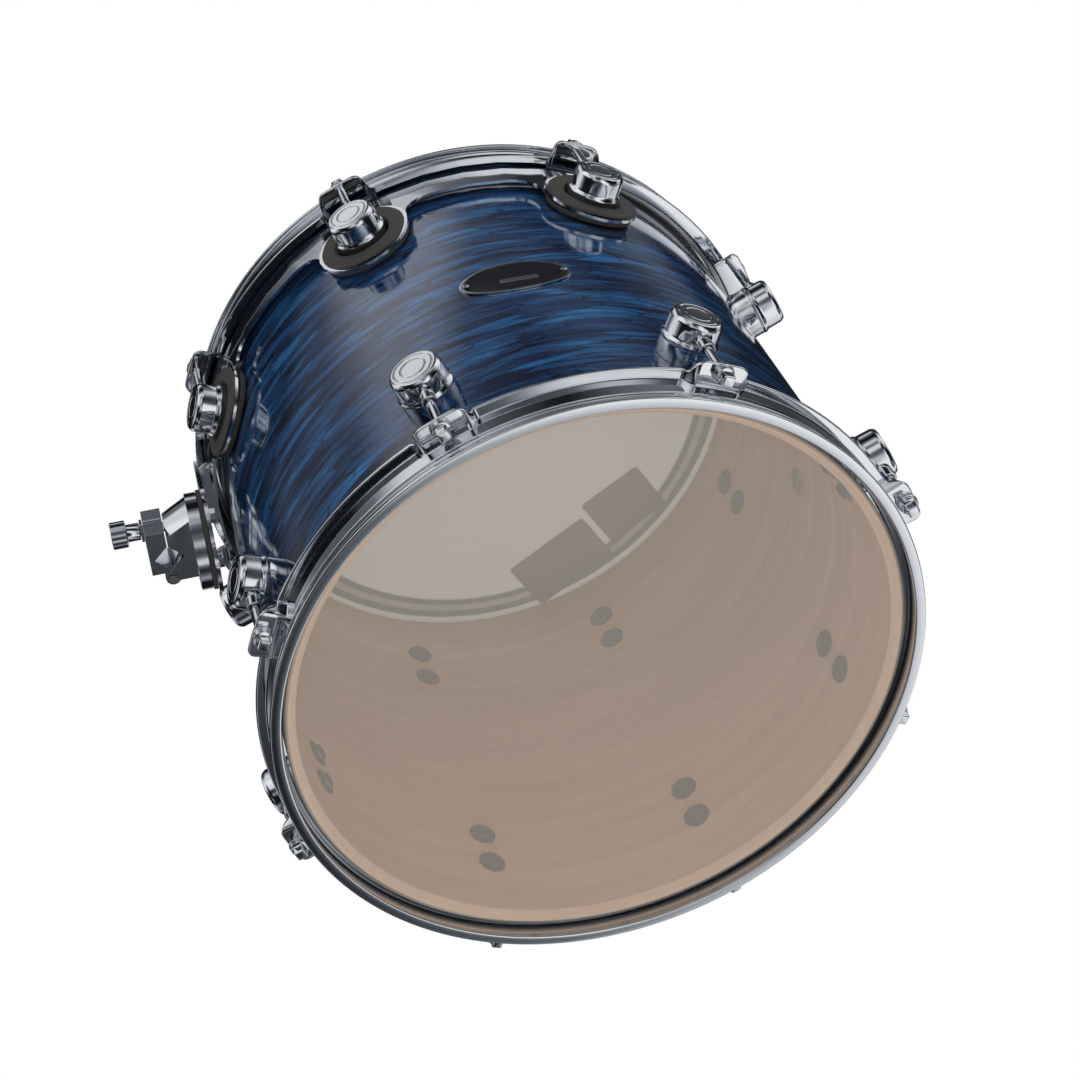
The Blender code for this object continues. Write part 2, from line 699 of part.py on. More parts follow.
def grommet_mesh():
    """A rubber ring round a lug, carried in the band's lobe; its origin lies on the wrap."""
    bore = LUG_BASE_RADIUS + GAP
    flange = BAND_STANDOFF + BAND_SHEET + GAP
    top = flange + GROMMET_FLANGE
    profile = [
        (bore, GROMMET_LIFT), (GROMMET_NECK_RADIUS, GROMMET_LIFT),
        (GROMMET_NECK_RADIUS, flange), (GROMMET_FLANGE_RADIUS, flange),
        (GROMMET_FLANGE_RADIUS, top - GROMMET_CHAMFER),
        (GROMMET_FLANGE_RADIUS - GROMMET_CHAMFER, top), (GROMMET_MOUTH_RADIUS, top),
        (bore, flange),
    ]
    return finished(turned("grommet", profile, GROMMET_SIDES, "X"))


def band_mesh():
    """The suspension band: a curved strip with a flat lobe at each lug and the bracket's plate."""
    strip_low = BATTER_LUG_Z + BAND_OFFSET
    strip_high = strip_low + BAND_WIDTH
    fillet_z = BAND_OFFSET - LOBE_FILLET
    fillet_y = math.sqrt((LOBE_RADIUS + LOBE_FILLET) ** 2 - fillet_z**2)
    web_z = fillet_z * LOBE_RADIUS / (LOBE_RADIUS + LOBE_FILLET)
    band = tube("band_ring", BAND_INNER_RADIUS, BAND_RADIUS, BATTER_LUG_Z + web_z, strip_high)
    reach = 2 * BAND_RADIUS

    # The open part of the ring, opposite the bracket
    end_margin = math.degrees(LUG_BASE_RADIUS / BAND_RADIUS)
    first_cut = BAND_LAST_LUG * LUG_ANGLE + end_margin
    last_cut = (BAND_FIRST_LUG + LUG_COUNT) * LUG_ANGLE - end_margin
    corners = [(0, 0)]
    for step in range(4):
        angle = math.radians(first_cut + (last_cut - first_cut) * step / 3)
        corners.append((reach * math.cos(angle), reach * math.sin(angle)))
    combine(band, plate("band_opening", corners, BATTER_LUG_Z - reach, strip_high + reach))

    # Windows under the strip between neighbouring lobes
    fillet_angle = math.degrees(math.asin(fillet_y / BAND_RADIUS))
    half_window = BAND_RADIUS * math.sin(math.radians(LUG_ANGLE / 2 - fillet_angle))
    windows = bmesh.new()
    fillets = bmesh.new()
    for number in range(BAND_FIRST_LUG, BAND_LAST_LUG):
        if number == BRACKET_GAP_LUG:
            continue
        add_box(
            windows, (BAND_RADIUS / 2, -half_window, BATTER_LUG_Z),
            (reach, half_window, strip_low), about((number + 0.5) * LUG_ANGLE),
        )
        for lug, side in ((number, 1), (number + 1, -1)):
            add_cylinder(
                fillets, LOBE_FILLET, BAND_RADIUS / 2, reach, "X", (side * fillet_y, fillet_z),
                LOBE_SIDES, about(lug * LUG_ANGLE) @ lifted(BATTER_LUG_Z),
            )
    combine(band, from_bmesh("band_windows", windows))
    combine(band, from_bmesh("band_fillets", fillets))

    # Lobes, the bracket's plate and the pad that carries it
    lobes = bmesh.new()
    holes = bmesh.new()
    for number in range(BAND_FIRST_LUG, BAND_LAST_LUG + 1):
        frame = about(number * LUG_ANGLE) @ lifted(BATTER_LUG_Z)
        add_cylinder(
            lobes, LOBE_RADIUS, BAND_INNER_RADIUS, BAND_RADIUS, "X", (0, 0), LOBE_SIDES, frame
        )
        add_cylinder(
            holes, GROMMET_NECK_RADIUS + GAP, BAND_INNER_RADIUS - BAND_SHEET,
            BAND_RADIUS + BAND_SHEET, "X", (0, 0), GROMMET_SIDES, frame,
        )
    combine(band, from_bmesh("lobes", lobes), "UNION")
    frame = about(BRACKET_ANGLE) @ lifted(BRACKET_Z)
    neck_top = (strip_low + strip_high) / 2 - BRACKET_Z
    outline = [(-neck_top, PLATE_NECK_HALF_WIDTH), (-neck_top, -PLATE_NECK_HALF_WIDTH)]
    for step in range(LOBE_SIDES - 3):
        angle = math.radians(-130 + 260 * step / (LOBE_SIDES - 4))
        outline.append((PLATE_RADIUS * math.cos(angle), PLATE_RADIUS * math.sin(angle)))
    facing = Matrix.Rotation(math.pi / 2, 4, "Y")
    mounting_plate = plate("bracket_plate", outline, PLATE_INNER_X, PLATE_X, frame @ facing)
    combine(band, mounting_plate, "UNION")
    bm = bmesh.new()
    pad_half = PLATE_NECK_HALF_WIDTH - BAND_SHEET
    add_box(
        bm, (BAND_INNER_RADIUS + BAND_SHEET / 2, -pad_half, strip_low - BRACKET_Z),
        (PLATE_X - BAND_SHEET, pad_half, neck_top - BAND_SHEET), frame,
    )
    combine(band, from_bmesh("bracket_pad", bm), "UNION")
    add_bracket_bolts(holes, BOSS_BOLT_RADIUS + GAP, PLATE_INNER_X - PLATE_SHEET, BOSS_X, frame)
    combine(band, from_bmesh("band_holes", holes))
    return finished(band)


def add_bracket_bolts(bm, radius, low, high, frame=Matrix()):
    """Add a rod at each of the two bolts that hold the bracket's boss to its plate."""
    for side in (-1, 1):
        add_cylinder(
            bm, radius, low, high, "X", (side * BOSS_BOLT_SPACING / 2, 0), ROD_SIDES, frame
        )


def gasket_mesh():
    """The rubber washer between the plate and the boss."""
    gasket = cylinder(
        "gasket", GASKET_RADIUS, GASKET_X, GASKET_X + GASKET_THICKNESS, "X", (0, 0), LOBE_SIDES
    )
    bm = bmesh.new()
    add_bracket_bolts(bm, BOSS_BOLT_RADIUS + GAP, PLATE_X, BOSS_X)
    combine(gasket, from_bmesh("gasket_holes", bm))
    return finished(gasket)


def arm_channel(name, clearance=0.0):
    """The square channel, set on its corner, that the tom arm passes through."""
    reach = ARM_HALF_DIAGONAL + clearance
    corners = [
        (ARM_X + reach, ARM_SIDE_OFFSET), (ARM_X, ARM_SIDE_OFFSET + reach),
        (ARM_X - reach, ARM_SIDE_OFFSET), (ARM_X, ARM_SIDE_OFFSET - reach),
    ]
    return plate(name, corners, -2 * BOSS_RADIUS, 2 * BOSS_RADIUS)


def boss_mesh():
    """The bracket's fixed half: rim, cone, clamp block, hinge ears and its two bolts."""
    rim_end = BOSS_X + BOSS_RIM
    profile = [
        (0, BOSS_X), (BOSS_RADIUS, BOSS_X), (BOSS_RADIUS, rim_end),
        (BOSS_RADIUS - BOSS_SHOULDER, rim_end), (BOSS_END_RADIUS, SPLIT_X), (0, SPLIT_X),
    ]
    boss = turned("boss_cone", profile, LOBE_SIDES, "X")
    flats = bmesh.new()
    for side in (-1, 1):
        low, high = sorted((side * CLAMP_HALF_HEIGHT, side * 2 * BOSS_RADIUS))
        add_box(flats, (rim_end + GAP, -2 * BOSS_RADIUS, low), (2 * SPLIT_X, 2 * BOSS_RADIUS, high))
    combine(boss, from_bmesh("boss_flats", flats))
    side_cut = box(
        "knuckle_side", (rim_end + GAP, -2 * BOSS_RADIUS, -2 * CLAMP_HALF_HEIGHT),
        (2 * SPLIT_X, -PIN_OFFSET - PIN_RADIUS, 2 * CLAMP_HALF_HEIGHT),
    )
    combine(boss, side_cut)
    pin_at = (SPLIT_X + SPLIT / 2, -PIN_OFFSET)
    ear_half = CLAMP_HALF_HEIGHT - GAP
    ears = cylinder("boss_ears", KNUCKLE_RADIUS, -ear_half, ear_half, "Z", pin_at, CLAMP_SIDES)
    combine(boss, ears, "UNION")
    combine(boss, arm_channel("boss_channel"))
    half = KNUCKLE_HALF_HEIGHT + GAP
    relief = cylinder("boss_relief", KNUCKLE_RADIUS + GAP, -half, half, "Z", pin_at, CLAMP_SIDES)
    combine(boss, relief)
    pin_hole = cylinder(
        "pin_hole", PIN_RADIUS + GAP, -BOSS_RADIUS, BOSS_RADIUS, "Z", pin_at, ROD_SIDES
    )
    combine(boss, pin_hole)
    bolt_hole = cylinder(
        "clamp_bolt_hole", CLAMP_BOLT_RADIUS + GAP, SPLIT_X - CLAMP_BOLT_REACH - 2 * GAP,
        2 * SPLIT_X, "X", (CLAMP_BOLT_OFFSET, 0), CLAMP_SIDES,
    )
    combine(boss, bolt_hole)
    bolts = bmesh.new()
    add_bracket_bolts(bolts, BOSS_BOLT_RADIUS, PLATE_INNER_X - BOSS_NUT_HEIGHT, BOSS_X + BOSS_SHOULDER)
    combine(boss, from_bmesh("boss_bolts", bolts), "UNION")
    nuts = bmesh.new()
    nut_face = PLATE_INNER_X - GAP
    add_bracket_bolts(nuts, BOSS_NUT_RADIUS, nut_face - BOSS_NUT_HEIGHT, nut_face)
    combine(boss, from_bmesh("boss_nuts", nuts), "UNION")
    return finished(boss)


def jaw_mesh():
    """The clamp's swinging half, with a knuckle on the pin and a slot for the bolt."""
    jaw = box(
        "jaw_block", (JAW_X, -PIN_OFFSET + KNUCKLE_RADIUS + GAP, -CLAMP_HALF_HEIGHT),
        (JAW_END_X, CLAMP_TOP, CLAMP_HALF_HEIGHT),
    )
    pin_at = (SPLIT_X + SPLIT / 2, -PIN_OFFSET)
    half = KNUCKLE_HALF_HEIGHT
    knuckle = cylinder("jaw_knuckle", KNUCKLE_RADIUS, -half, half, "Z", pin_at, CLAMP_SIDES)
    combine(jaw, knuckle, "UNION")
    link = box("jaw_link", (JAW_X, -PIN_OFFSET, -half), (pin_at[0] + KNUCKLE_RADIUS, 0, half))
    combine(jaw, link, "UNION")
    combine(jaw, arm_channel("jaw_channel"))
    pin_hole = cylinder("jaw_pin_hole", PIN_RADIUS + GAP, -2 * half, 2 * half, "Z", pin_at, ROD_SIDES)
    combine(jaw, pin_hole)
    slot_half = CLAMP_BOLT_RADIUS + 2 * GAP
    slot = box(
        "bolt_slot", (SPLIT_X, CLAMP_BOLT_OFFSET - CLAMP_BOLT_RADIUS - 4 * GAP, -slot_half),
        (2 * SPLIT_X, 2 * CLAMP_TOP, slot_half),
    )
    combine(jaw, slot)
    mesh = finished(jaw)
    mesh.transform(Matrix.Translation((-pin_at[0] * MM, -pin_at[1] * MM, 0)))
    return mesh


def pin_mesh():
    """The jaw's hinge pin, with a head at each end."""
    end = CLAMP_HALF_HEIGHT + GAP
    profile = [
        (0, -end - PIN_HEAD), (PIN_HEAD_RADIUS, -end - PIN_HEAD), (PIN_HEAD_RADIUS, -end),
        (PIN_RADIUS, -end), (PIN_RADIUS, end), (PIN_HEAD_RADIUS, end),
        (PIN_HEAD_RADIUS, end + PIN_HEAD), (0, end + PIN_HEAD),
    ]
    return finished(turned("pin", profile, ROD_SIDES))


def clamp_washer_mesh():
    """The washer under the clamp bolt's neck."""
    hole = CLAMP_BOLT_RADIUS + GAP
    far = CLAMP_WASHER_X + CLAMP_WASHER_THICKNESS
    profile = [
        (hole, CLAMP_WASHER_X), (hole, far),
        (CLAMP_WASHER_RADIUS, far), (CLAMP_WASHER_RADIUS, CLAMP_WASHER_X),
    ]
    return finished(turned("clamp_washer", profile, CLAMP_SIDES, "X"))


def clamp_bolt_mesh():
    """The clamp bolt: threaded shank, neck and a grip."""
    start = SPLIT_X - CLAMP_BOLT_REACH
    neck_end = CLAMP_NECK_X + CLAMP_NECK_LENGTH
    profile = [
        (0, start), (CLAMP_BOLT_RADIUS, start), (CLAMP_BOLT_RADIUS, CLAMP_NECK_X),
        (CLAMP_NECK_RADIUS, CLAMP_NECK_X), (CLAMP_NECK_RADIUS, neck_end),
        (CLAMP_HEAD_RADIUS, neck_end + GAP), (CLAMP_HEAD_RADIUS, neck_end + CLAMP_HEAD_LENGTH),
        (0, neck_end + CLAMP_HEAD_LENGTH),
    ]
    return finished(turned("clamp_bolt", profile, CLAMP_SIDES, "X"))


def build_shell(root):
    """The shell with what is fixed to its wall."""
    piece("shell", shell_mesh(), "maple", root)
    piece("shell_wrap", wrap_mesh(), "blue_wrap", root)
    badge_frame = empty("badge_frame", root, (0, 0, MIDDLE), (0, 0, BADGE_ANGLE))
    piece("badge_plate", badge_mesh(), "badge_metal", badge_frame)
    rivet = rivet_mesh()
    for name, side in (("badge_rivet_left", -1), ("badge_rivet_right", 1)):
        place = (rivet_x(), side * RIVET_SPACING / 2, 0)
        piece(name, rivet, "chrome", badge_frame, place)
    vent_frame = empty("vent_frame", root, (0, 0, MIDDLE), (0, 0, VENT_ANGLE))
    piece("vent_grommet", vent_mesh(), "chrome", vent_frame, (WRAP_RADIUS, 0, 0))


def build_head(root, side, z, turn, meshes):
    """One head with its hoop, lugs and rods; a turn of 180 degrees about X serves the batter."""
    head = empty(side + "_side", root, (0, 0, z), (turn, 0, 0))
    piece(side + "_film", meshes["film"], "film", head)
    piece(side + "_flesh_hoop", meshes["flesh_hoop"], "aluminium", head)
    hoop = piece(side + "_hoop", meshes["hoop"], "chrome", head)
    way = -1 if turn else 1
    for number in range(LUG_COUNT):
        angle = way * number * LUG_ANGLE
        along = math.cos(math.radians(angle))
        across = math.sin(math.radians(angle))
        label = str(number + 1)
        piece(
            side + "_lug_" + label, meshes["lug"], "chrome", head,
            (WRAP_RADIUS * along, WRAP_RADIUS * across, LUG_DEPTH), (0, 0, angle),
        )
        piece(
            side + "_rod_" + label, meshes["rod"], "chrome", hoop,
            (ROD_CIRCLE_RADIUS * along, ROD_CIRCLE_RADIUS * across, EAR_DEPTH), (0, 0, angle),
        )


def build_suspension(root):
    """The band with a grommet at each lug that carries it."""
    piece("suspension_band", band_mesh(), "chrome", root)
    grommet = grommet_mesh()
    for number in range(BAND_FIRST_LUG, BAND_LAST_LUG + 1):
        angle = number * LUG_ANGLE
        place = (
            WRAP_RADIUS * math.cos(math.radians(angle)),
            WRAP_RADIUS * math.sin(math.radians(angle)), BATTER_LUG_Z,
        )
        name = "grommet_" + str(number % LUG_COUNT + 1)
        piece(name, grommet, "rubber", root, place, (0, 0, angle))


def build_bracket(root):
    """The mounting bracket, in a frame whose X is its own axis."""
    bracket = empty("bracket_frame", root, (0, 0, BRACKET_Z), (0, 0, BRACKET_ANGLE))
    piece("bracket_gasket", gasket_mesh(), "rubber", bracket)
    piece("bracket_boss", boss_mesh(), "chrome", bracket)
    pin_place = (SPLIT_X + SPLIT / 2, -PIN_OFFSET, 0)
    piece("clamp_jaw", jaw_mesh(), "chrome", bracket, pin_place)
    piece("jaw_pin", pin_mesh(), "zinc", bracket, pin_place)
    bolt_place = (0, CLAMP_BOLT_OFFSET, 0)
    piece("clamp_washer", clamp_washer_mesh(), "zinc", bracket, bolt_place)
    piece("clamp_bolt", clamp_bolt_mesh(), "chrome", bracket, bolt_place)


def build():
    """The whole drum."""
    root = empty("rack_tom")
    meshes = {
        "film": film_mesh(), "flesh_hoop": flesh_hoop_mesh(), "hoop": hoop_mesh(),
        "lug": lug_mesh(), "rod": rod_mesh(),
    }
    build_shell(root)
    build_head(root, "resonant", 0, 0, meshes)
    build_head(root, "batter", HEAD_TO_HEAD, 180, meshes)
    build_suspension(root)
    build_bracket(root)


build()
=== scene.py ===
"""Looks of the rack tom: chrome, a pearl wrap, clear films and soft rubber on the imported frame."""

import json
import math

import bmesh
import bpy
import numpy as np
from mathutils import Matrix, Vector

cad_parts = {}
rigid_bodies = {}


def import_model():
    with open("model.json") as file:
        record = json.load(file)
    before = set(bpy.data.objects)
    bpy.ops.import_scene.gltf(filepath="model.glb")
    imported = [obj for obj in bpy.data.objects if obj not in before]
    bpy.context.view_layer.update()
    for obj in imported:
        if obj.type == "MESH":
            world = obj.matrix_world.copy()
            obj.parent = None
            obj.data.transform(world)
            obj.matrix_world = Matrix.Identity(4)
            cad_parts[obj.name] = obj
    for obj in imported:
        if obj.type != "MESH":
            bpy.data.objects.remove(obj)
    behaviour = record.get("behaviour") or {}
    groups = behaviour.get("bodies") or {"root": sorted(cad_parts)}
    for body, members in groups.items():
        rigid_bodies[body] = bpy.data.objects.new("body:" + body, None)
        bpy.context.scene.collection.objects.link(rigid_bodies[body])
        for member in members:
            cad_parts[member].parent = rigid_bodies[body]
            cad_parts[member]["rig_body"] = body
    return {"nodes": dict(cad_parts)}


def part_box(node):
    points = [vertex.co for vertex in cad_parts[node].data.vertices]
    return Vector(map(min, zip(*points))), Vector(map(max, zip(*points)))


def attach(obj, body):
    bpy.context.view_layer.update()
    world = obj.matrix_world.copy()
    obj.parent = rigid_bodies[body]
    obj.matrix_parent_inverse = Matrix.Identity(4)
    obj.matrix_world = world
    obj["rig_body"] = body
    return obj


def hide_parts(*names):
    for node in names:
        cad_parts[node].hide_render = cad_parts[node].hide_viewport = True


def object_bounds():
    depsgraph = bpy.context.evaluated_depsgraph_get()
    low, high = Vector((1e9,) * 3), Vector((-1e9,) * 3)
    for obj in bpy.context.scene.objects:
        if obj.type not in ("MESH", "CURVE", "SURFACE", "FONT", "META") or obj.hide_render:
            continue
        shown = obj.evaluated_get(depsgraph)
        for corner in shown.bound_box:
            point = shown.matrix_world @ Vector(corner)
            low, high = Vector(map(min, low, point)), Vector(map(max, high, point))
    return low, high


MM = 0.001
TAU = 2 * math.pi

# The drum, in millimetres; heights are along its axis from the resonant film's outer face
HEAD_TO_HEAD = 306.0
SIDES = ("resonant", "batter")
LUGS = 8
LUG_ANGLE = 360 / LUGS
SHELL_INNER = 170.9
SHELL_OUTER = 176.9
WRAP_INNER = 177.2
WRAP_OUTER = 177.8
WRAP_SEAM_ANGLE = 130
EDGE_DEPTH = 0.6
EDGE_SLOPE = 4.6
EDGE_ROUND = 1.6
EDGE_CREST = (174.9, 175.6)

# A head, in millimetres from the drum's axis and below the film's outer face
FILM_REACH = 178.4
FILM_SHEET = 0.3
FILM_HEM = 13.4
CHANNEL_REACH = (178.7, 182.1)
CHANNEL_DEPTH = (4.6, 13.6)
RING_PLACES = ((0.858, 0.861, 0.884, 0.887), (0.911, 0.914, 0.940, 0.943))
RING_SCALE = 0.18

# A hoop, from one sheet bent twice; the ears stand above the flange and reach past it
HOOP_SHEET = 2.3
LIP_DEPTH = -8.0
LIP_REACH = 186.8
RIM_WALL = (180.5, 182.8)
LEDGE_DEPTH = 2.0
LOWER_WALL = (182.4, 184.7)
FLANGE_DEPTH = 16.4
FLANGE_REACH = 190.5
EAR_DEPTH = 9.7
EAR_REACH = 199.5
EAR_HALF_TIP = 9.0
EAR_HALF_ROOT = 16.0
EAR_HALF_FOOT = 19.2
EAR_SLOPE = 6.7
EAR_ARC = 21.0
EAR_ARC_RADIUS = 188.0
EAR_MEASURE_RADIUS = 190.0

# Lugs, rods and the rings that carry the lugs
LUG_DEPTH = 59.0
LUG_BASE = 15.8
LUG_CAP_HEIGHT = 25.1
NUT_HEIGHT = 16.7
NUT_RADIUS = 4.3
NUT_REACH = 25.0
SCREW_SPACING = 26.0
ROD_CIRCLE = 194.5
ROD_RADIUS = 2.75
ROD_END = 52.0
KEY_HALF_SIDE = 3.175
KEY_RADIUS = 3.6
KEY_TOP = 5.45
KEY_POWER = 9
CARRIED_LUGS = (0, 1, 4, 5, 6, 7)

# The badge, bent to the shell
BADGE_BACK = 178.1
BADGE_ANGLE = 22.5
BADGE_HALF_WIDTH = 32.5
BADGE_HALF_HEIGHT = 16.0
BADGE_FACE_SHARE = 0.93
BARE_PLATE_HALF = (11.0, 2.0)
BARE_PLATE_TURN = 0.5
BARE_PLATE_DROP = 4.0
BARE_PLATE_POWER = 16

# The dark squares against the batter head: centre and half sides of each
PATCHES = (((-146.0, -7.0), (21.0, 32.0)), ((-129.0, 52.0), (21.0, 24.0)))
PATCH_TILT = -8
PATCH_DEPTH = 0.45
PATCH_SHEET = 0.15
PATCH_POWER = 24

# Finishing
MERGE_SURFACE = 0.000001
MERGE_SOLID = 0.000005
SHARP_ANGLE = 32

# The camera, in metres and degrees
CAMERA_PLACE = Vector((0.7591, 0.0824, -0.8644))
CAMERA_AIM = Vector((-0.0053, 0.0006, 0.153))
CAMERA_ROLL = -24.65
CAMERA_LENS = 69.36
CAMERA_SENSOR = 36.0

# The studio: lamps as name, place in metres, size in metres and power in watts
FLOOR_GAP = 0.0005
FLOOR_HALF = 30.0
LAMPS = (("key", (1.0, 0.9, 1.3), 0.9, 12.0), ("inside", (0.3, 0.1, -1.2), 1.0, 9.0))

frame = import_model()
cad_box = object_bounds()
nodes = frame["nodes"]


def linear(hex_colour):
    """An sRGB hex colour as linear RGBA."""
    parts = [int(hex_colour[i:i + 2], 16) / 255 for i in (1, 3, 5)]
    return [c / 12.92 if c <= 0.04045 else ((c + 0.055) / 1.055) ** 2.4 for c in parts] + [1.0]


def add(tree, kind, settings=None, links=None):
    """Add one shader node, set its sockets or fields, and link other nodes' outputs to its inputs."""
    node = tree.nodes.new(kind)
    for key, value in (settings or {}).items():
        if isinstance(key, int) or key in node.inputs:
            node.inputs[key].default_value = value
        else:
            setattr(node, key, value)
    for key, source in (links or {}).items():
        tree.links.new(source, node.inputs[key])
    return node


def ramp(tree, source, stops):
    """A colour ramp over a value, with stops of (position, hex colour)."""
    node = add(tree, "ShaderNodeValToRGB", links={0: source})
    elements = node.color_ramp.elements
    while len(elements) < len(stops):
        elements.new(0.5)
    for element, (position, colour) in zip(elements, stops):
        element.position = position
        element.color = linear(colour)
    return node.outputs["Color"]


def finish(name, base, roughness, metallic=0.0, **settings):
    """A named material with its tree and its Principled shader, which holds the plain settings."""
    material = bpy.data.materials.new(name)
    material.use_nodes = True
    tree = material.node_tree
    shader = tree.nodes["Principled BSDF"]
    shader.inputs["Base Color"].default_value = linear(base)
    shader.inputs["Roughness"].default_value = roughness
    shader.inputs["Metallic"].default_value = metallic
    for key, value in settings.items():
        shader.inputs[key.replace("_", " ")].default_value = value
    return material, tree, shader


def relief(tree, shader, height, strength, distance):
    """Bump from a height; distance is in metres."""
    bump = add(tree, "ShaderNodeBump", {"Strength": strength, "Distance": distance}, {"Height": height})
    tree.links.new(bump.outputs[0], shader.inputs["Normal"])


def stretched(tree, source, scale):
    """Coordinates multiplied by a scale in features per metre, axis by axis."""
    return add(tree, "ShaderNodeMapping", {"Scale": scale}, {"Vector": source}).outputs[0]


def grain(tree, shader, scale, strength, distance, stretch=(1, 1, 1)):
    """Fine surface relief from noise on Object coordinates; scale is in features per metre."""
    place = stretched(tree, add(tree, "ShaderNodeTexCoord").outputs["Object"], stretch)
    noise = add(tree, "ShaderNodeTexNoise", {"Scale": scale, "Detail": 4.0}, {"Vector": place})
    relief(tree, shader, noise.outputs[0], strength, distance)
    return noise.outputs[0]


def chrome_plate():
    """Polished chrome over pressed steel: a mirror with a faint haze where it has been wiped."""
    material, tree, shader = finish("polished_chrome_plate", "#dfe2e6", 0.06, 1.0)
    wipe = grain(tree, shader, 60.0, 0.04, 0.0004)
    haze = add(tree, "ShaderNodeMapRange", {"To Min": 0.03, "To Max": 0.10}, {"Value": wipe})
    tree.links.new(haze.outputs[0], shader.inputs["Roughness"])
    return material


def pearl_wrap():
    """Glossy celluloid wrap: blue pearl flakes drawn out round the shell, with dark veins."""
    material, tree, shader = finish(
        "streaked_pearl_celluloid", "#40536f", 0.12, 0.2, Coat_Weight=1.0, Coat_Roughness=0.03,
    )
    sheet = add(tree, "ShaderNodeUVMap", {"uv_map": "sheet"}).outputs[0]
    # Streaks about 55 mm long and 8 mm high, with flakes about 38 mm long and 5 mm high over them
    streaks = add(
        tree, "ShaderNodeTexNoise",
        {"Scale": 1.0, "Detail": 5.0, "Roughness": 0.55, "Distortion": 0.8},
        {"Vector": stretched(tree, sheet, (18.0, 130.0, 1.0))},
    )
    flake_place = {"Vector": stretched(tree, sheet, (26.0, 210.0, 1.0))}
    veins = add(
        tree, "ShaderNodeTexVoronoi", {"Scale": 1.0, "feature": "DISTANCE_TO_EDGE"}, flake_place,
    )
    cells = add(tree, "ShaderNodeTexVoronoi", {"Scale": 1.0}, flake_place)
    base = ramp(tree, streaks.outputs[0], (
        (0.34, "#14182a"), (0.44, "#1d2c4a"), (0.53, "#27446c"), (0.62, "#2a659a"), (0.74, "#4f97cc"),
    ))
    flakes = ramp(tree, cells.outputs["Color"], (
        (0.25, "#161b2c"), (0.55, "#24406a"), (0.85, "#2f78b4"),
    ))
    mixed = add(tree, "ShaderNodeMix", {"data_type": "RGBA", 0: 0.45}, {6: base, 7: flakes})
    crack = add(
        tree, "ShaderNodeMapRange", {"From Max": 0.05, "To Min": 0.35, "To Max": 1.0},
        {"Value": veins.outputs["Distance"]},
    )
    veined = add(
        tree, "ShaderNodeMix", {"data_type": "RGBA", "blend_type": "MULTIPLY", 0: 1.0},
        {6: mixed.outputs[2], 7: crack.outputs[0]},
    )
    tree.links.new(veined.outputs[2], shader.inputs["Base Color"])
    return material


def clear_film(name, tint, alpha):
    """Stretched polyester film: clear, slightly milky, with a soft sheen; the dark squares against the
    batter head take it with a dark tint.
    """
    material, tree, shader = finish(name, tint, 0.18, Alpha=alpha)
    grain(tree, shader, 300.0, 0.05, 0.0002)
    return material


def muffled_film():
    """Two-ply batter film: milky, with two grey rings near its edge and stipple between them."""
    material, tree, shader = finish("two_ply_polyester_film", "#b3ab9f", 0.35, Alpha=0.62)
    place = add(tree, "ShaderNodeTexCoord").outputs["Object"]
    flat = add(
        tree, "ShaderNodeVectorMath", {"operation": "MULTIPLY", 1: (1.0, 1.0, 0.0)}, {0: place},
    )
    reach = add(tree, "ShaderNodeVectorMath", {"operation": "LENGTH"}, {0: flat.outputs[0]})
    share = add(
        tree, "ShaderNodeMapRange", {"From Max": RING_SCALE}, {"Value": reach.outputs["Value"]},
    ).outputs[0]
    # The rings lie 155 to 159 mm and 164 to 169 mm from the axis
    inner, outer = RING_PLACES
    for socket, film, ring, between, beyond in (
        ("Base Color", "#b4ac9f", "#5c625e", "#8f8576", "#b3aa9c"),
        ("Alpha", "#cdcdcd", "#fbfbfb", "#e4e4e4", "#cdcdcd"),
    ):
        stops = (
            (inner[0], film), (inner[1], ring), (inner[2], ring), (inner[3], between),
            (outer[0], between), (outer[1], ring), (outer[2], ring), (outer[3], beyond),
        )
        tree.links.new(ramp(tree, share, stops), shader.inputs[socket])
    grain(tree, shader, 500.0, 0.08, 0.0002)
    return material


def maple_ply():
    """Sealed maple ply: warm wood with grain running round the drum, in bands about 17 mm high."""
    material, tree, shader = finish("sealed_maple_ply", "#c8a68c", 0.5)
    place = stretched(tree, add(tree, "ShaderNodeTexCoord").outputs["Object"], (3.0, 3.0, 60.0))
    lines = add(
        tree, "ShaderNodeTexNoise", {"Scale": 1.0, "Detail": 6.0, "Roughness": 0.6}, {"Vector": place},
    ).outputs[0]
    wood = ramp(tree, lines, ((0.3, "#bd9a80"), (0.5, "#c8a68c"), (0.7, "#d2b298")))
    tree.links.new(wood, shader.inputs["Base Color"])
    relief(tree, shader, lines, 0.1, 0.0003)
    return material


def plain_metal(name, base, roughness):
    """A worked metal with fine drawn lines."""
    material, tree, shader = finish(name, base, roughness, 1.0)
    grain(tree, shader, 400.0, 0.1, 0.0001, (1, 1, 12))
    return material


def moulded_rubber():
    """Moulded rubber: dark, soft, with a faint orange-peel skin."""
    material, tree, shader = finish("moulded_rubber", "#3d3a38", 0.6)
    speck = grain(tree, shader, 900.0, 0.15, 0.0002)
    skin = ramp(tree, speck, ((0.3, "#343130"), (0.7, "#45413f")))
    tree.links.new(skin, shader.inputs["Base Color"])
    return material


def badge_enamel():
    """Baked enamel on the badge: near black, faintly mottled."""
    material, tree, shader = finish("black_baked_enamel", "#111215", 0.35)
    grain(tree, shader, 700.0, 0.06, 0.0001)
    return material


